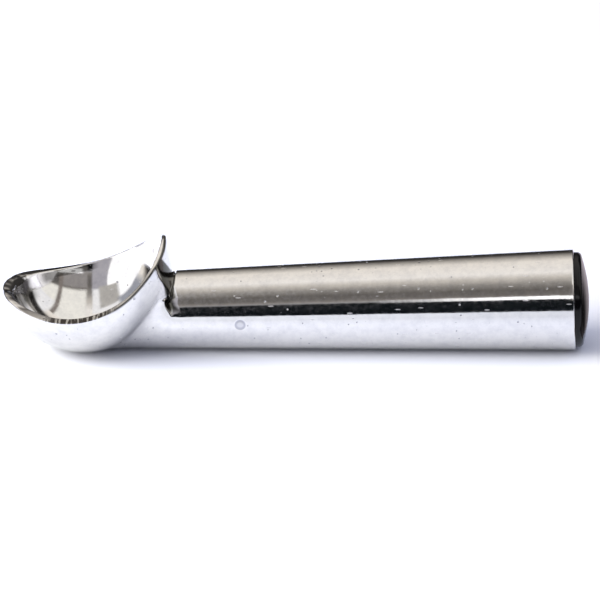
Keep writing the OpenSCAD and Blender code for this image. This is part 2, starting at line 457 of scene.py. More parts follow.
# %% One side from both ways
flow = ease(folded, 50, 60)
tight = 0.25 + 0.35 * ease(folded, 30, 60)
wide = np.full(columns, 4.0)
flowing, foot_at = pressed_notch(resample(flank(False, wide, 2 * wide), 900))
run = distances(flowing)
foot_run = run[foot_at, np.arange(columns)]
valley_row = wall_rows + fillet_rows // 2
behind_rows = wall_rows + fillet_rows + neck_rows - valley_row
flowing = np.concatenate([resample(flowing, valley_row + 1, run[0], foot_run),
                          resample(flowing, behind_rows, foot_run, run[-1])[1:]])
side_rows = (1 - flow[:, None]) * flank(True, tight, tight) + flow[:, None] * flowing

grip_a = np.linspace(neck_end, handle_len - 0.6, 34)[1:, None] * np.ones(columns)
grip = handle_point(grip_a, np.broadcast_to(around, grip_a.shape), notched=False)
print("The notch's bottom is row", valley_row, "of", len(side_rows), "and the grip has", len(grip))

# %% [markdown]
# The butt is turned off square with its edge broken, and a stepped bore goes in from it: a
# wide mouth for the cap's skirt, a bore for the plug, and the long hollow that holds the
# liquid. The hollow closes the skin, so the casting has a real inside that a cut would show.

# %% The butt, the bore and the hollow
butt_round, bevel = 0.45, 0.1
mouth_r, mouth_deep = 13.5, 5.3
plug_bore_r, plug_bore_deep = 12.5, 14.3
chamber_set, chamber_r, chamber_end_r = 0.4, 8.5, 10.22
chamber_middle = chamber_set + chamber_r - handle_len
chamber_end = -plug_bore_deep - bevel


def turned_profile(profile):
    """Rows of points from pairs of distance past the butt's face, less than 0 inside the
    handle, and radius: the profile turned once about the handle's axis."""
    d, r = np.array(profile, float).T
    return cone_point + (butt_s + d)[:, None, None] * along + r[:, None, None] * turned(around)[None]


butt_edge = [(-butt_round, butt_r - 0.02), (-0.22, butt_r - 0.07), (-0.07, butt_r - 0.22),
             (0, butt_r - butt_round)]
mouth = [(0, butt_r - 2 * butt_round), (0, mouth_r + 0.4), (-bevel, mouth_r + bevel), (-0.3, mouth_r),
         (-2.6, mouth_r), (-mouth_deep + bevel, mouth_r), (-mouth_deep, mouth_r - bevel)]
plug_bore = [(-mouth_deep, plug_bore_r + bevel), (-mouth_deep - bevel, plug_bore_r), (-10, plug_bore_r),
             (-plug_bore_deep + bevel, plug_bore_r), (-plug_bore_deep, plug_bore_r - bevel)]
chamber = ([(-plug_bore_deep, chamber_end_r + 0.18), (chamber_end, chamber_end_r)]
           + [(d, chamber_end_r + (d - chamber_end) * np.tan(np.radians(1)))
              for d in np.linspace(chamber_end - 2.4, chamber_middle + 0.5, 16)]
           + [(chamber_middle + chamber_r * np.cos(q), chamber_r * np.sin(q))
              for q in np.radians(np.linspace(90, 176, 22))])
bore = turned_profile(butt_edge + mouth + plug_bore + chamber)

casting_rows = np.concatenate([inside, inner_round, face, outer_round, side_rows, grip, bore])
casting_rows[..., 2] = np.maximum(casting_rows[..., 2], 0)
print("The casting's grid:", casting_rows.shape[:2], "and", 2 * len(casting_rows) * columns, "triangles")

# %% [markdown]
# The grid becomes a closed mesh: each row is joined to the next, the last column to the
# first, and one point closes each end. The volume tells whether the faces point outwards.

# %% From a grid to a mesh
def skin(name, rows, first, last):
    """A closed mesh in metres, in the row frame, from rows of points in millimetres about the
    bowl's axis. Its volume is the sum of p0 . (p1 x p2) / 6 over its triangles, and a
    negative one turns all faces round."""
    count, width = rows.shape[:2]
    points = np.vstack([first, rows.reshape(-1, 3), last])
    points = (points + np.array([bowl_to_row, 0, 0])) * MM
    j = np.arange(width)
    k = (j + 1) % width
    i = 1 + width * np.arange(count - 1)[:, None]
    quads = np.stack([i + j, i + k, i + width + k, i + width + j], -1).reshape(-1, 4)
    top = 1 + width * (count - 1)
    start = np.stack([0 * j, 1 + k, 1 + j], -1)
    end = np.stack([0 * j + len(points) - 1, top + j, top + k], -1)
    triangles = np.concatenate([quads[:, [0, 1, 2]], quads[:, [0, 2, 3]], start, end])
    p = points[triangles]
    volume = (p[:, 0] * np.cross(p[:, 1], p[:, 2])).sum() / 6
    faces = quads.tolist() + start.tolist() + end.tolist()
    if volume < 0:
        faces = [face[::-1] for face in faces]
    mesh = bpy.data.meshes.new(name)
    mesh.from_pydata(points.tolist(), [], faces)
    mesh.polygons.foreach_set("use_smooth", np.ones(len(faces), bool))
    mesh.update()
    piece = bpy.data.objects.new(name, mesh)
    bpy.context.scene.collection.objects.link(piece)
    print(name, "holds", round(abs(volume) * 1e6, 2), "cubic centimetres")
    return piece


casting = skin("polished_scoop", casting_rows, hollow_centre - [0, 0, hollow_r],
               cone_point + (front_s + chamber_set) * along)
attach(casting, "root")
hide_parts("scoop_casting")

# %% [markdown]
# The metal doesn't look the same all over, and the places that differ follow the shape, so
# their amounts are kept as attributes, one number for every point of the casting. Most are
# picked by the row of the grid, the compass bearing about the bowl and the height.

# %% Places on the casting
def keep(name, rows):
    """Stores one number per point of the casting's rows, with 0 at the two poles."""
    values = np.concatenate([[0.0], rows.ravel(), [0.0]])
    casting.data.attributes.new(name, "FLOAT", "POINT").data.foreach_set("value", values)
    print("Attribute", name, "is above a half at", int((values > 0.5).sum()), "points")


x, y, z = np.moveaxis(casting_rows, -1, 0)
bearing = np.degrees(np.arctan2(y, x))
side = np.abs(bearing)
row = np.arange(len(casting_rows))[:, None]
rim_start = len(inside)
side_start = rim_start + len(inner_round) + len(face) + len(outer_round)
side_end = side_start + len(side_rows)
in_bowl = row < rim_start
on_rim = (row >= rim_start) & (row < side_start)
on_side = (row >= side_start) & (row < side_end)
run = distances(side_rows)
down_wall = np.zeros_like(x)
down_wall[side_start:side_end] = run
past_valley = np.zeros_like(x)
past_valley[side_start:side_end] = run - run[valley_row]
print("The rim starts at row", rim_start, "and the outside at row", side_start)

# %% [markdown]
# The notch behind the ear is painted dark: shade with some tarnish, as no wheel reaches in
# there. A patch on the ear's back above it is painted shade, and so are a thin line under the
# rim on the near side of the ear and the inside under the far rim. The bowl is greyer at the nose.

# %% Tarnish and painted shade
on_back = on_side & (row < side_start + valley_row)
patch_from = 20.3 - 2.0 * (32.2 - z)
patch_to = 25.2 + 0.7 * (z - 23.2)
ear_patch = (ease(side - patch_from, -0.6, 0.8) * (1 - ease(side - patch_to, -1.2, 0.2))
             * ease(z, 20.5, 21.5) * on_back)

lower = ease(folded, 52, 60)
past_end = 1 - ease(past_valley, 1.0 + 2 * lower, 2.4 + 2.4 * lower)
groove = np.where(past_valley < 0, ease(past_valley, -0.5, -0.1), past_end) * on_side
upper_part = 0.9 * (past_valley < 0.3) * (1 - ease(folded, 50, 60))
groove = groove * (upper_part + ease(folded, 40, 54)) * (1 - ease(folded, 66, 80))

at_edge = (row >= side_start - len(outer_round)) & (row < side_start + 40)
near_side = ease(bearing, -78, -62) * (1 - ease(bearing, -6, 4))
edge_line = at_edge * (1 - ease(down_wall, 0.1, 0.45)) * near_side

at_nose = ease(side, 138, 150) * ease(z, 10.5, 13)
beside_nose = ease(bearing, 112, 121) * (1 - ease(bearing, 126, 134)) * ease(z, 13.5, 15.5)
nose_wall = in_bowl * np.maximum(at_nose, beside_nose)
far_side = ease(bearing, 78, 88) * (1 - ease(bearing, 122, 130))
under_rim = in_bowl * (row > rim_start - 5) * far_side
# One attribute for tarnish and painted shade: the notch is shade with some tarnish, and the ear's patch,
# the line under the rim's edge and the inside under the far rim are painted shade.
keep("tarnish_and_painted_shade", np.maximum.reduce([ear_patch, groove, 0.9 * edge_line, 0.75 * nose_wall, 0.7 * under_rim]))

# %% [markdown]
# A file dressed the rim on the near side and left it unpolished. The ear's inside at the far
# side is made half matt, so the lamp lights it white as a painted highlight, and the nose is
# dented by knocks.

# %% Filed places, the painted highlight and knocked places
keep("filed", on_rim * ease(bearing, -124, -112) * (1 - ease(bearing, -74, -60)))
# The ear's far inside is made half matt so that it shows white: a painted highlight.
keep("diffuse_highlight", in_bowl * ease(bearing, 28, 36) * (1 - ease(bearing, 62, 70)) * ease(z, 20.3, 22))
keep("knocked", (on_rim | on_side) * ease(side, 128, 150) * ease(z, 12.5, 15.5))

# %% [markdown]
# The cap is a shallow dome with a rounded edge, moulded in one with a skirt that is pressed
# into the butt. A profile turned about the handle's axis gives it, with points close
# together at the edge, where the highlight bends.

# %% The end cap
dome_r, edge_r, cap_r, cap_rise = 46.0, 1.6, 14.6, 4.4
skirt_r, skirt_in_r, skirt_len, lid = 13.45, 11.65, 5, 0.2
edge_x = cap_r - edge_r
edge_z = cap_rise - dome_r + np.sqrt(dome_r ** 2 - edge_x ** 2) - edge_r
dome_lean = np.arcsin(edge_x / dome_r)
dome = [(cap_rise - dome_r + dome_r * np.cos(q), dome_r * np.sin(q))
        for q in np.linspace(0.012, dome_lean, 40)]
edge = [(edge_z + edge_r * np.cos(q), edge_x + edge_r * np.sin(q))
        for q in np.linspace(dome_lean + 0.08, np.pi / 2, 18)]
foot = [(edge_z / 2, cap_r), (0.12, cap_r), (0, cap_r - 0.12), (0, skirt_r + 0.25), (0, skirt_r)]
skirt = [(-0.3, skirt_r), (-skirt_len + 0.2, skirt_r), (-skirt_len, skirt_r - 0.15),
         (-skirt_len, skirt_in_r + 0.15), (-skirt_len + 0.2, skirt_in_r), (0, skirt_in_r)]
ceiling = [(lid, skirt_in_r - 0.25), (lid, 6), (lid, 1)]
cap = skin("butt_cap", turned_profile(dome + edge + foot + skirt + ceiling),
           cone_point + (butt_s + cap_rise) * along, cone_point + (butt_s + lid) * along)
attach(cap, "root")
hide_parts("end_cap")

# %% [markdown]
# Materials. Colours are written as sRGB hex values, the way a paint chart gives them, and
# turned to the linear values that Cycles works with by one function. One more function adds
# a node with its settings and links, so that each material reads as a list of its parts. A
# texture's Scale says how often it repeats in a metre, so it comes from a real size.

# %% Colours, sizes and nodes
def linear(hex_colour):
    """sRGB hex to linear: c / 12.92 below 0.04045, and ((c + 0.055) / 1.055)^2.4 above."""
    c = np.array([int(hex_colour[i:i + 2], 16) for i in (1, 3, 5)]) / 255
    return tuple(np.where(c <= 0.04045, c / 12.92, ((c + 0.055) / 1.055) ** 2.4)) + (1.0,)


def repeats(size):
    """How often a pattern of a size in millimetres repeats in a metre: 1 / size."""
    return 1 / (size * MM)


def node(tree, kind, sockets, **settings):
    """Adds a ShaderNode of a kind, sets its settings, and fills its sockets, named or numbered,
    with values or links. In a mix of colours, sockets 6 and 7 are its two colours and output
    2 the mix."""
    made = tree.nodes.new("ShaderNode" + kind)
    for name, value in settings.items():
        setattr(made, name, value)
    for name, value in sockets.items():
        if isinstance(value, bpy.types.NodeSocket):
            tree.links.new(value, made.inputs[name])
        else:
            made.inputs[name].default_value = value
    return made


def material(name):
    """A new material with an empty node tree, and that tree."""
    made = bpy.data.materials.new(name)
    made.use_nodes = True
    made.node_tree.nodes.clear()
    return made, made.node_tree


falling = {"To Min": 1.0, "To Max": 0.0}  # a Map Range's 1 below From Min and 0 above From Max
print("The hex colour #808080 is", round(float(linear("#808080")[0]), 3), "in linear light")

# %% [markdown]
# Polished aluminium, sand cast and buffed: a bright, almost neutral mirror that is never
# quite flat. Buffing leaves slow waves a centimetre long. Its scratches are hundredths of a
# millimetre apart, too fine to show, so they are drawn as a ripple of about a millimetre.
# Where the nose was knocked, dents half a centimetre wide are laid over both.

# %% Polished cast aluminium: waves, ripple and dents
wave_size, ripple_size, dent_size = 14.29, 1.111, 5.882
polished, tree = material("buffed cast aluminium")
place = node(tree, "TexCoord", {}).outputs["Object"]
waves = node(tree, "TexNoise", {"Vector": place, "Scale": repeats(wave_size), "Detail": 1.0})
wave_bump = node(tree, "Bump", {"Height": waves.outputs["Fac"], "Strength": 1.0,
                                "Distance": 0.08 * MM})
ripple = node(tree, "TexNoise", {"Vector": place, "Scale": repeats(ripple_size), "Detail": 3.0})
ripple_bump = node(tree, "Bump", {"Height": ripple.outputs["Fac"], "Strength": 1.0,
                                  "Distance": 0.0055 * MM, "Normal": wave_bump.outputs["Normal"]})
knocked = node(tree, "Attribute", {}, attribute_name="knocked")
dents = node(tree, "TexNoise", {"Vector": place, "Scale": repeats(dent_size), "Detail": 1.0})
dent_bump = node(tree, "Bump", {"Height": dents.outputs["Fac"], "Strength": knocked.outputs["Fac"],
                                "Distance": 1.2 * MM, "Normal": ripple_bump.outputs["Normal"]})
print("Waves every", wave_size, "mm, a ripple of", ripple_size, "mm and dents of", dent_size, "mm")

# %% [markdown]
# Sand casting leaves pores up to half a millimetre wide, which show as dark specks, more of
# them in some patches than in others. Each lies in a Voronoi cell of its own, and how near
# the cell's middle it ends depends on the patch. Knocks leave nicks two millimetres long,
# made the same way from cells that are stretched and turned a little.

# %% Polished cast aluminium: pores and nicks
pore_cell, patch_size = 2.381, 11.11
nick_cell, nick_turn = (9.09, 2.381, 1.786), np.radians(24)
cells = node(tree, "TexVoronoi", {"Vector": place, "Scale": repeats(pore_cell)})
patchy = node(tree, "TexNoise", {"Vector": place, "Scale": repeats(patch_size), "Detail": 3.0})
deeper = node(tree, "Math", {0: patchy.outputs["Fac"], 1: -0.6, 2: 0.36}, operation="MULTIPLY_ADD")
reach = node(tree, "Math", {0: cells.outputs["Distance"], 1: deeper.outputs[0]}, operation="ADD")
pores = node(tree, "MapRange", {"Value": reach.outputs[0], "From Min": 0.07, "From Max": 0.15,
                                **falling}, interpolation_type="SMOOTHSTEP")
stretched = node(tree, "Mapping", {"Vector": place, "Rotation": (0.0, nick_turn, 0.0),
                                   "Scale": [repeats(size) for size in nick_cell]})
strokes = node(tree, "TexVoronoi", {"Vector": stretched.outputs["Vector"], "Scale": 1.0})
nicks = node(tree, "MapRange", {"Value": strokes.outputs["Distance"], "From Min": 0.06,
                                "From Max": 0.13, **falling}, interpolation_type="SMOOTHSTEP")
print("Pores in cells of", pore_cell, "mm and nicks in cells of", nick_cell, "mm")

# %% [markdown]
# An ejector pin left a round mark on the near side of the handle: a ring with a fainter
# middle. It is two soft discs about one point, the smaller taken in part from the larger,
# and it is pressed in together with the pores.

# %% Polished cast aluminium: the round mark
mark_centre = handle_point(np.array(19.4), np.radians(93.0), notched=False) + [bowl_to_row, 0, 0]
from_mark = node(tree, "VectorMath", {0: place, 1: tuple(mark_centre * MM)}, operation="DISTANCE")
disc = node(tree, "MapRange", {"Value": from_mark.outputs["Value"], "From Min": 1.5 * MM,
                               "From Max": 1.9 * MM, **falling}, interpolation_type="SMOOTHSTEP")
middle = node(tree, "MapRange", {"Value": from_mark.outputs["Value"], "From Min": 0.7 * MM,
                                 "From Max": 1.3 * MM, **falling}, interpolation_type="SMOOTHSTEP")
mark = node(tree, "Math", {0: middle.outputs["Result"], 1: -0.45, 2: disc.outputs["Result"]},
            operation="MULTIPLY_ADD")
pits = node(tree, "Math", {0: pores.outputs["Result"], 1: mark.outputs[0]}, operation="MAXIMUM")
pit_bump = node(tree, "Bump", {"Height": pits.outputs[0], "Strength": 1.0, "Distance": 0.1 * MM,
                               "Normal": dent_bump.outputs["Normal"]}, invert=True)
print("The mark's middle, in millimetres:", mark_centre.round(1))

# %% [markdown]
# The metal's own colour is nearly white. A faint mottle three millimetres wide clouds it, and
# pores are painted grey as the shade in their pits. The near side of the rim was dressed with a
# coarse file and never polished: it is painted dark as its dim reflection, with painted glints,
# single bright strokes a millimetre apart that run across it at a slant. Over all of it comes
# the tarnish and the painted shade.

# %% Polished cast aluminium: its colours
mottle_size, stroke_size, stroke_turn = 3.03, (0.909, 7.69, 7.69), np.radians(20)
mottle = node(tree, "TexNoise", {"Vector": place, "Scale": repeats(mottle_size), "Detail": 5.0,
                                 "Roughness": 0.7})
cloudy = node(tree, "MapRange", {"Value": mottle.outputs["Fac"], "From Min": 0.42,
                                 "From Max": 0.72, "To Min": 0.0, "To Max": 0.2})
# Pores and the pin mark are painted grey-blue: the shade in their pits.
pit_share = node(tree, "Math", {0: pits.outputs[0], 1: 0.6}, operation="MULTIPLY")
speck = node(tree, "Math", {0: pit_share.outputs[0], 1: cloudy.outputs["Result"]},
             operation="MAXIMUM")
bare = node(tree, "Mix", {"Factor": speck.outputs[0], 6: linear("#EBE9E9"),
                          7: linear("#84869A")}, data_type="RGBA")
slant = node(tree, "Mapping", {"Vector": place, "Rotation": (0.0, 0.0, stroke_turn),
                               "Scale": [repeats(size) for size in stroke_size]})
filing = node(tree, "TexNoise", {"Vector": slant.outputs["Vector"], "Scale": 1.0, "Detail": 2.0})
# The filed rim's bright strokes are painted glints, on a colour painted dark as its dim reflection.
painted_glints = node(tree, "MapRange", {"Value": filing.outputs["Fac"], "From Min": 0.38,
                                 "From Max": 0.5, **falling}, interpolation_type="SMOOTHSTEP")
stroked = node(tree, "Mix", {"Factor": painted_glints.outputs["Result"], 6: linear("#544E4A"),
                             7: linear("#D8D5D0")}, data_type="RGBA")
filed = node(tree, "Attribute", {}, attribute_name="filed")
rimmed = node(tree, "Mix", {"Factor": filed.outputs["Fac"], 6: bare.outputs[2],
                            7: stroked.outputs[2]}, data_type="RGBA")
tarnish_and_painted_shade = node(tree, "Attribute", {}, attribute_name="tarnish_and_painted_shade")
# Dark grey is mixed in where the metal is tarnished and where shade is painted: the notch, the ear's patch
# and under the rims.
colour = node(tree, "Mix", {"Factor": tarnish_and_painted_shade.outputs["Fac"], 6: rimmed.outputs[2],
                            7: linear("#4A4944")}, data_type="RGBA")
print("Mottle of", mottle_size, "mm and file strokes", stroke_size[0], "mm apart")

# %% [markdown]
# Buffed metal mirrors crisply, with a roughness of 0.05 to 0.12 that follows the ripple.
# Nicks and the filed rim are rougher and scatter the light. On the ear's far inside the
# metallic share goes down, so the lamp lights its nearly white colour: a painted highlight.

# %% Polished cast aluminium: the finished surface
rough = node(tree, "MapRange", {"Value": ripple.outputs["Fac"], "From Min": 0.3, "From Max": 0.7,
                                "To Min": 0.05, "To Max": 0.12})
coarse = node(tree, "Math", {0: nicks.outputs["Result"], 1: filed.outputs["Fac"]},
              operation="MAXIMUM")
rougher = node(tree, "Math", {0: coarse.outputs[0], 1: 0.4, 2: rough.outputs["Result"]},
               operation="MULTIPLY_ADD")
# Where the metallic share drops, the lamp lights the white base: a painted highlight.
diffuse_highlight = node(tree, "Attribute", {}, attribute_name="diffuse_highlight")
metallic = node(tree, "Math", {0: diffuse_highlight.outputs["Fac"], 1: -0.75, 2: 1.0},
                operation="MULTIPLY_ADD")
shader = node(tree, "BsdfPrincipled", {
    "Base Color": colour.outputs[2], "Metallic": metallic.outputs[0], "Roughness": rougher.outputs[0],
    "Normal": pit_bump.outputs["Normal"]})
node(tree, "OutputMaterial", {"Surface": shader.outputs["BSDF"]})
casting.data.materials.append(polished)
print(polished.name, "has", len(tree.nodes), "nodes")

# %% [markdown]
# The cap is moulded ABS plastic, black and glossy: a clear, dark reflection of the room. A
# breath of dust and handling, in patches of two millimetres, makes it a little softer here
# and there. It mirrors weakly, so the specular level is half of what plastics start from.

# %% Glossy black plastic
dust_size = 2.0
gloss_black, tree = material("glossy black moulded ABS")
place = node(tree, "TexCoord", {}).outputs["Object"]
dust = node(tree, "TexNoise", {"Vector": place, "Scale": repeats(dust_size), "Detail": 4.0})
rough = node(tree, "MapRange", {"Value": dust.outputs["Fac"], "From Min": 0.35, "From Max": 0.75,
                                "To Min": 0.06, "To Max": 0.2})
shader = node(tree, "BsdfPrincipled", {
    "Base Color": linear("#0B0A0B"), "Roughness": rough.outputs["Result"], "Specular IOR Level": 0.25})
node(tree, "OutputMaterial", {"Surface": shader.outputs["BSDF"]})
cap.data.materials.append(gloss_black)
print(gloss_black.name, "has", len(tree.nodes), "nodes")

# %% [markdown]
# Liquid, plug and ring are closed in by the casting and the cap, and no picture shows them.
# They keep the CAD model's meshes, and a loop gives each a plain finish of its own: a clear
# liquid, a turned metal that mirrors softly, and a dull black rubber.

# %% The pieces inside the handle
grain_size = 2 / 3
inner_finishes = {  # the material's name, its colour, its roughness and its metallic
    "heat_liquid": ("clear heat transfer liquid", "#C9D6DE", 0.05, 0.0),
    "seal_plug": ("turned aluminium plug", "#D6D6D8", 0.3, 1.0),
    "seal_ring": ("black nitrile rubber", "#141416", 0.6, 0.0),
}
for name, (title, hue, roughness, metal_share) in inner_finishes.items():
    made, tree = material(title)
    place = node(tree, "TexCoord", {}).outputs["Object"]
    grain = node(tree, "TexNoise", {"Vector": place, "Scale": repeats(grain_size), "Detail": 2.0})
    rough = node(tree, "MapRange", {"Value": grain.outputs["Fac"], "To Min": 0.8 * roughness,
                                    "To Max": 1.2 * roughness})
    shader = node(tree, "BsdfPrincipled", {
        "Base Color": linear(hue), "Metallic": metal_share, "Roughness": rough.outputs["Result"]})
    node(tree, "OutputMaterial", {"Surface": shader.outputs["BSDF"]})
    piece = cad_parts[name]
    piece.data.materials.clear()
    piece.data.materials.append(made)
    print(name, "is finished as", title)

# %% [markdown]
# A mirror shows its room, so the room is half of this picture. It is painted on the world by
# two angles of a direction: the turn about the scoop's length, from the front's horizon over
# the zenith to the back, and the lean towards either end. An arc tangent and an arc sine
# give them in degrees, so that a place in the room is two plain angles.

# %% The room's turn and lean
world = bpy.data.worlds.new("studio")
bpy.context.scene.world = world
world.use_nodes = True
tree = world.node_tree
tree.nodes.clear()
way = node(tree, "TexCoord", {}).outputs["Generated"]
split = node(tree, "SeparateXYZ", {"Vector": way})
ahead = node(tree, "Math", {0: split.outputs["Y"], 1: -1.0}, operation="MULTIPLY")
turn_angle = node(tree, "Math", {0: split.outputs["Z"], 1: ahead.outputs[0]}, operation="ARCTAN2")
turn = node(tree, "Math", {0: turn_angle.outputs[0]}, operation="DEGREES")
lean_angle = node(tree, "Math", {0: split.outputs["X"]}, operation="ARCSINE")
lean = node(tree, "Math", {0: lean_angle.outputs[0]}, operation="DEGREES")
spot = node(tree, "CombineXYZ", {"X": turn.outputs[0], "Y": lean.outputs[0]}).outputs[0]
print("The room's two angles take", len(tree.nodes), "nodes")

# %% [markdown]
# A ramp over the turn gives what runs along the whole room: a dark strip at the front above
# the table, a grey wall that is darkest halfway up, a bright ceiling and a dim back.

# %% From the front over the ceiling to the back
walls = [  # degrees of turn, colour
    (-180, "#D8D8E4"), (-9, "#D8D8E4"), (-5, "#0D1214"), (25, "#0D1214"), (28.5, "#A5A3A3"),
    (31, "#8C8780"), (36, "#716D69"), (48, "#68645F"), (62, "#94908A"), (76, "#D2CCC2"),
    (90, "#FFFBF4"), (126, "#F6F0E6"), (146, "#A8A39B"), (160, "#4A4744"), (174, "#262524")]
share = node(tree, "MapRange", {"Value": turn.outputs[0], "From Min": -180.0, "From Max": 180.0})
ramp = node(tree, "ValToRGB", {"Fac": share.outputs["Result"]})
stops = ramp.color_ramp.elements
for number, (degrees, hue) in enumerate(walls):
    position = (degrees + 180) / 360
    stop = stops[number] if number < 2 else stops.new(position)
    stop.position, stop.color = position, linear(hue)
print("The walls and the ceiling have", len(stops), "colours")

# %% [markdown]
# Soft-edged panels are laid over it: a wide, bright window at the bowl's end, a lamp with a
# dull middle next to it, more light from above, and dark furniture behind. A panel is a box
# in the two angles. Its cover is 1 inside and falls to 0 over the width of its soft edge,
# by how far a direction lies beyond the box in the angle that is farther off.

# %% Panels laid over it
panels = [  # turn from, to, lean from, to, width of the soft edge, colour, brightness
    (-8, 86, -96, -31, 7, "#FFFFFF", 1.35),
    (8, 56, -30, -9, 2, "#B4B2B8", 1.0),
    (22, 51, 0, 34, 3, "#9B9794", 1.0),
    (60, 116, 3, 62, 6, "#FFFDF4", 1.0),
    (57, 96, -47, -10, 3, "#FFFFFF", 1.0),
    (54, 88, -44, -20, 4, "#BEBBB5", 1.0),
    (88, 126, -70, -48, 8, "#A6A9B2", 1.0),
    (36, 118, 36, 39, 3, "#8A827B", 1.0),
    (94, 136, 44, 66, 6, "#FFFFFF", 1.0),
    (140, 190, 24, 96, 10, "#343230", 1.0),
]
room = ramp.outputs["Color"]
for turn_from, turn_to, lean_from, lean_to, soft, hue, brightness in panels:
    centre = ((turn_from + turn_to) / 2, (lean_from + lean_to) / 2, 0)
    half = ((turn_to - turn_from) / 2, (lean_to - lean_from) / 2, 0)
    offset = node(tree, "VectorMath", {0: spot, 1: centre}, operation="SUBTRACT")
    off = node(tree, "VectorMath", {0: offset.outputs[0]}, operation="ABSOLUTE")
    past_box = node(tree, "VectorMath", {0: off.outputs[0], 1: half}, operation="SUBTRACT")
    both = node(tree, "SeparateXYZ", {"Vector": past_box.outputs[0]})
    beyond = node(tree, "Math", {0: both.outputs["X"], 1: both.outputs["Y"]}, operation="MAXIMUM")
    cover = node(tree, "MapRange", {"Value": beyond.outputs[0], "From Min": 0.0,
                                    "From Max": float(soft), **falling},
                 interpolation_type="SMOOTHSTEP")
    lit_hue = [brightness * c for c in linear(hue)]
    laid = node(tree, "Mix", {"Factor": cover.outputs["Result"], 6: room, 7: lit_hue},
                data_type="RGBA")
    room = laid.outputs[2]
print("The room has", len(panels), "panels")

# %% [markdown]
# Different rays see different things of it. The metal mirrors the painted room. The camera
# sees plain white, as the photograph's ground was burnt out to white. What is dull gets an
# even bluish light, because it would only blur the room. A ray that has left a dull surface
# already sees the room dimmed, or the floor would glow back into the metal and the shadow.

# %% What each ray sees of the room
dimmed = 0.2  # share of the room that is left after a dull surface
past_dull = 0.5  # a ray's count of dull surfaces is 0 before this and 1 or more after
path = node(tree, "LightPath", {})
for_dull = node(tree, "Background", {"Color": linear("#C4CAE6"), "Strength": 1.05})
bounced = node(tree, "Math", {0: path.outputs["Diffuse Depth"], 1: past_dull},
               operation="GREATER_THAN")
level = node(tree, "Math", {0: bounced.outputs[0], 1: dimmed - 1, 2: 1.0}, operation="MULTIPLY_ADD")
for_metal = node(tree, "Background", {"Color": room, "Strength": level.outputs[0]})
for_camera = node(tree, "Background", {"Color": linear("#FFFFFF"), "Strength": 1.0})
mirrored = node(tree, "MixShader", {"Fac": path.outputs["Is Glossy Ray"], 1: for_dull.outputs[0],
                                    2: for_metal.outputs[0]})
seen_room = node(tree, "MixShader", {"Fac": path.outputs["Is Camera Ray"],
                                     1: mirrored.outputs[0], 2: for_camera.outputs[0]})
node(tree, "OutputWorld", {"Surface": seen_room.outputs[0]})
print("The world has", len(tree.nodes), "nodes")

# %% [markdown]
# The table is a large sheet of white paper. It ends not far in front of the scoop, where
# the room's dark strip takes over in the metal, and runs far back behind it.

# %% The table
def sheet_of(name, corners):
    """A flat stage piece from its corners in metres."""
    mesh = bpy.data.meshes.new(name)
    mesh.from_pydata(corners, [], [tuple(range(len(corners)))])
    piece = bpy.data.objects.new(name, mesh)
    bpy.context.scene.collection.objects.link(piece)
    return piece


half_width, front_edge, back_edge = 0.9, -0.27, 1.2
table = sheet_of("white_paper", [(-half_width, front_edge, 0), (half_width, front_edge, 0),
                                 (half_width, back_edge, 0), (-half_width, back_edge, 0)])
print("The table is", 2 * half_width, "m wide and", back_edge - front_edge, "m deep")

# %% [markdown]
# Uncoated paper is matt and sends light back evenly, so a diffuse shader is all of it, and
# the lamp lights it to white around the scoop's shadow. It isn't the same to every ray, as
# with the room. To the camera it is white, and a little warm beyond the butt, which paints a
# warm tint into the shadow there. Mirrored in the metal it is greyer towards the front, as the
# reflections in the photograph are, a painted shade in the reflection, and white at the bowl's
# end, a painted brighter reflection. After a dull surface it is dark, for the reason that dims
# the room.

# %% White paper
paper, tree = material("white seamless paper")
seen = node(tree, "LightPath", {})
place = node(tree, "TexCoord", {}).outputs["Object"]
spot = node(tree, "SeparateXYZ", {"Vector": place})
forward = node(tree, "MapRange", {"Value": spot.outputs["Y"], "From Min": -0.03, "From Max": -0.065})
left_end = node(tree, "MapRange", {"Value": spot.outputs["X"], "From Min": -0.075,
                                   "From Max": -0.12})
right_end = node(tree, "MapRange", {"Value": spot.outputs["X"], "From Min": 0.084,
                                    "From Max": 0.105})
bounced = node(tree, "Math", {0: seen.outputs["Diffuse Depth"], 1: past_dull},
               operation="GREATER_THAN")
# Greyer towards the front in the metal: painted shade in the reflection.
greying = node(tree, "Mix", {"Factor": forward.outputs["Result"], 6: linear("#F3F4F2"),
                             7: linear("#DADBD6")}, data_type="RGBA")
in_metal = node(tree, "Mix", {"Factor": left_end.outputs["Result"], 6: greying.outputs[2],
                              7: linear("#FFFFFF")}, data_type="RGBA")
# Warm beyond the butt to the camera: a painted tint of the shadow there.
to_camera = node(tree, "Mix", {"Factor": right_end.outputs["Result"], 6: linear("#FFFFFF"),
                               7: linear("#F6EEDA")}, data_type="RGBA")
tint = node(tree, "Mix", {"Factor": seen.outputs["Is Glossy Ray"], 6: to_camera.outputs[2],
                          7: in_metal.outputs[2]}, data_type="RGBA")
shaded = node(tree, "Mix", {"Factor": bounced.outputs[0], 6: tint.outputs[2],
                            7: linear("#5C5C66")}, data_type="RGBA")
plain = node(tree, "BsdfDiffuse", {"Color": shaded.outputs[2]})
node(tree, "OutputMaterial", {"Surface": plain.outputs[0]})
table.data.materials.append(paper)
print(paper.name, "has", len(tree.nodes), "nodes")

# %% [markdown]
# A tube lamp stands in front of the handle's butt half. It is the thin white line along the
# handle, which fades out where the tube ends, so a lit card is put there that turns clear
# towards its end. Only the metal sees it.

# %% The tube lamp's card
def only_mirrored(piece):
    """Hides a card from the camera, from dull surfaces and from shadows."""
    piece.visible_camera = piece.visible_diffuse = piece.visible_shadow = False


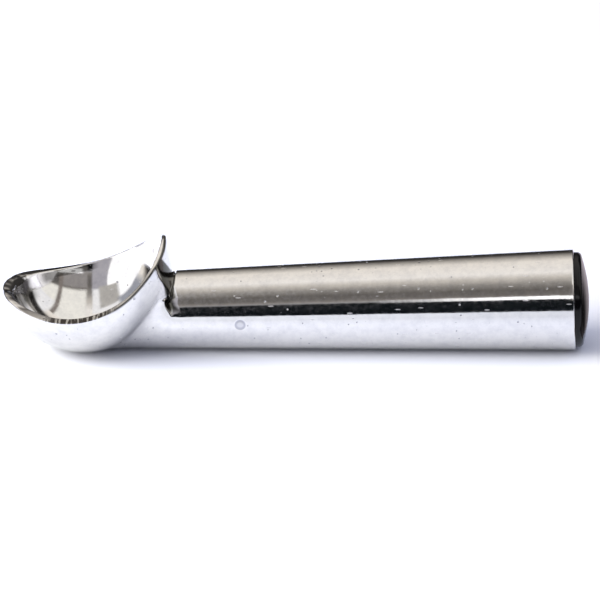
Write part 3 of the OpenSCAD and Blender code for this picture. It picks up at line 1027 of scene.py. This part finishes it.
tube_y, tube_low, tube_high, tube_from, tube_to = -0.5, 0.24, 0.318, -0.03, 0.6
card = sheet_of("tube_card", [(tube_from, tube_y, tube_low), (tube_to, tube_y, tube_low),
                              (tube_to, tube_y, tube_high), (tube_from, tube_y, tube_high)])
tube, tree = material("lit tube")
place = node(tree, "TexCoord", {}).outputs["Object"]
length = node(tree, "SeparateXYZ", {"Vector": place})
level = node(tree, "MapRange", {"Value": length.outputs["X"], "From Min": -0.028,
                                "From Max": 0.025}, interpolation_type="SMOOTHSTEP")
lit = node(tree, "Emission", {"Color": linear("#FFFFFF"), "Strength": 1.7})
clear = node(tree, "BsdfTransparent", {})
faded = node(tree, "MixShader", {"Fac": level.outputs["Result"], 1: clear.outputs[0],
                                 2: lit.outputs[0]})
node(tree, "OutputMaterial", {"Surface": faded.outputs[0]})
card.data.materials.append(tube)
only_mirrored(card)
print("The tube's card is", round(1000 * (tube_high - tube_low)), "mm high")

# %% [markdown]
# The cap's dome mirrors the table beyond the butt, which lies in shade at that end. A glowing
# grey card that only mirrors see lies there as a painted shadow. It gets darker as a fan about
# the butt's middle, by the distance past the butt over the distance behind it, and towards its
# near edge.

# %% The painted shadow card beyond the butt
card_z, card_near, card_far = 0.0006, -0.02, 0.5
card_from, card_to, butt_x = 0.0935, 0.45, 0.0905
grey = sheet_of("painted_shade_card", [(card_from, card_near, card_z), (card_to, card_near, card_z),
                             (card_to, card_far, card_z), (card_from, card_far, card_z)])
greyed, tree = material("painted shade card")
place = node(tree, "TexCoord", {}).outputs["Object"]
spot = node(tree, "SeparateXYZ", {"Vector": place})
past_butt = node(tree, "Math", {0: spot.outputs["X"], 1: butt_x}, operation="SUBTRACT")
ratio = node(tree, "Math", {0: past_butt.outputs[0], 1: spot.outputs["Y"]}, operation="DIVIDE")
fan = node(tree, "MapRange", {"Value": ratio.outputs[0], "From Min": 0.45, "From Max": 0.8,
                              "To Min": 1.0, "To Max": 0.04})
far_off = node(tree, "MapRange", {"Value": spot.outputs["Y"], "From Min": 0.01, "From Max": 0.07,
                                  "To Min": 0.35, "To Max": 1.0})
level = node(tree, "Math", {0: fan.outputs["Result"], 1: far_off.outputs["Result"]},
             operation="MULTIPLY")
# The card's glow is a painted shadow of the table, darker in a fan past the butt.
shade = node(tree, "Emission", {"Color": linear("#E9DDE6"), "Strength": level.outputs[0]})
node(tree, "OutputMaterial", {"Surface": shade.outputs[0]})
grey.data.materials.append(greyed)
only_mirrored(grey)
print("The painted shade card starts", round(1000 * (card_from - butt_x), 1), "mm past the butt")

# %% [markdown]
# One square softbox stands low beyond the bowl's end and lights the paper at a plain level.
# It throws the scoop's shadow to the right and back. The metal doesn't mirror it, because
# what the metal mirrors is the painted room.

# %% The softbox
lamp_place = mathutils.Vector((-0.88, -0.3, 0.38))
light = bpy.data.lights.new("front_softbox", "AREA")
light.shape, light.size, light.energy = "SQUARE", 0.8, 24.0
lamp = bpy.data.objects.new("front_softbox", light)
bpy.context.scene.collection.objects.link(lamp)
lamp.location = lamp_place
lamp.rotation_mode = "QUATERNION"
lamp.rotation_quaternion = (-lamp_place).to_track_quat("-Z", "Y")
lamp.visible_glossy = False
print("The softbox is", round(lamp_place.length, 2), "m from the scoop")

# %% [markdown]
# The photograph was taken with a long lens, looking down at 22 degrees from straight in front
# of the butt, so the bowl is seen a little from the right. The camera stands there and is
# turned to the picture's middle about its own upright edge, so the handle stays level.

# %% The camera
elevation, distance, picture_width, film_width = np.radians(22), 4.1, 0.18396, 36.0
target = np.array([0.0015, 0.0, 0.01531])
stand = np.array([0.080, -distance * np.cos(elevation), target[2] + distance * np.sin(elevation)])
look = unit(target - stand)
up = unit(np.cross([1.0, 0.0, 0.0], look))
right = np.cross(look, up)
lens = bpy.data.cameras.new("long_lens")
lens.sensor_width, lens.lens = film_width, film_width * distance / picture_width
lens.clip_start, lens.clip_end = 0.5, 20.0
camera = bpy.data.objects.new("camera", lens)
bpy.context.scene.collection.objects.link(camera)
pose = np.eye(4)
pose[:3, 0], pose[:3, 1], pose[:3, 2], pose[:3, 3] = right, up, -look, stand
camera.matrix_world = mathutils.Matrix(pose)
bpy.context.scene.camera = camera
bpy.context.scene.view_settings.view_transform = "Standard"
print("The lens is", round(lens.lens), "mm long on a film of", film_width, "mm")
